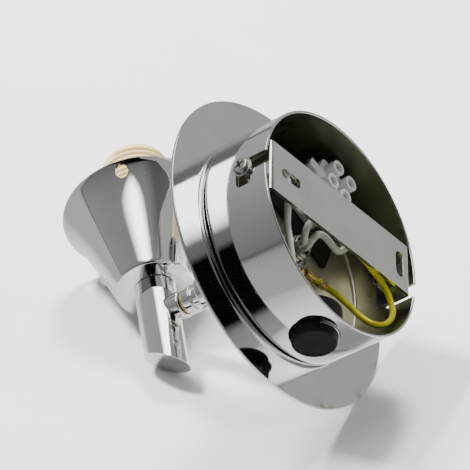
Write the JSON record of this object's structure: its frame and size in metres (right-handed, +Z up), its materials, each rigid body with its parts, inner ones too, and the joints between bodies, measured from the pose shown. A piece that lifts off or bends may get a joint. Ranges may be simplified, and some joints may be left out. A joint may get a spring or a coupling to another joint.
{
  "type": "bathroom wall light fitting",
  "caption": "Chrome bathroom wall light: drum wall box with push switch, round disc, swivelling arm, slanted post, trumpet lamp cup and a threaded lampholder, shade removed.",
  "frame": {"origin": "middle of the drum's mouth, on the back face of the mounting strap, in the plane of the wall", "axes": "+Y into the wall, +Z up, +X along the strap to the right as seen from the room"},
  "size_m": [0.127, 0.1315, 0.1471],
  "materials": {
    "chrome": "bright chrome plate",
    "nickel_steel": "nickel-plated steel, satin",
    "brass": "plain turned brass",
    "black_plastic": "fine moulded matt black",
    "natural_nylon": "milky translucent nylon",
    "cream_plastic": "cream thermoset, slightly glossy",
    "white_silicone": "off-white silicone sleeve",
    "earth_insulation": "yellow with a green stripe"
  },
  "bodies": {
    "bracket": {"mounting_strap": "nickel_steel", "tab_nut_right": "nickel_steel", "tab_nut_left": "nickel_steel"},
    "right_screw": {"cover_screw_right": "nickel_steel"},
    "left_screw": {"cover_screw_left": "nickel_steel"},
    "cover": {"drum_cup": "chrome", "backplate_disc": "chrome", "switch_body": "black_plastic", "switch_clip": "nickel_steel", "insulating_plate": "black_plastic", "terminal_block": "natural_nylon", "terminal_screw_1": "nickel_steel", "terminal_screw_2": "nickel_steel", "terminal_screw_3": "nickel_steel", "terminal_screw_4": "nickel_steel", "lamp_live_wire": "white_silicone", "lamp_neutral_wire": "white_silicone", "switch_wire": "white_silicone", "earth_terminal": "brass", "earth_wire": "earth_insulation", "nipple": "nickel_steel", "lock_washer": "nickel_steel", "inner_nut": "nickel_steel", "arm_sleeve": "chrome", "arm_collar": "chrome", "swivel_washer": "brass"},
    "button": {"switch_button": "black_plastic"},
    "head": {"swivel_stud": "nickel_steel", "arm_boss": "chrome", "post": "chrome", "bell_nipple": "nickel_steel", "bell_cup": "chrome", "holder_nut": "nickel_steel", "lampholder_body": "cream_plastic", "lampholder_shell": "brass", "lampholder_contact": "brass"}
  },
  "joints": [
    {"name": "cover_twist", "type": "hinge", "parent": "bracket", "child": "cover", "pos_m": [0, 0, 0], "axis": [0, 1, 0], "range_deg": [-6.5, 2.5]},
    {"name": "cover_screw_right_turn", "type": "hinge", "parent": "bracket", "child": "right_screw", "pos_m": [0.0467, -0.0101, 0.0023], "axis": [1, 0, 0], "continuous": true},
    {"name": "cover_screw_left_turn", "type": "hinge", "parent": "bracket", "child": "left_screw", "pos_m": [-0.0467, -0.0101, 0.0023], "axis": [-1, 0, 0], "continuous": true},
    {"name": "arm_swivel", "type": "hinge", "parent": "cover", "child": "head", "pos_m": [0, -0.0756, -0.0018], "axis": [0, 1, 0], "range_deg": [-170, 170]},
    {"name": "switch_press", "type": "slide", "parent": "cover", "child": "button", "axis": [0, 0, 1], "range_m": [0, 0.0025], "stiffness_N_per_m": 400, "springref_m": -0.003}
  ]
}
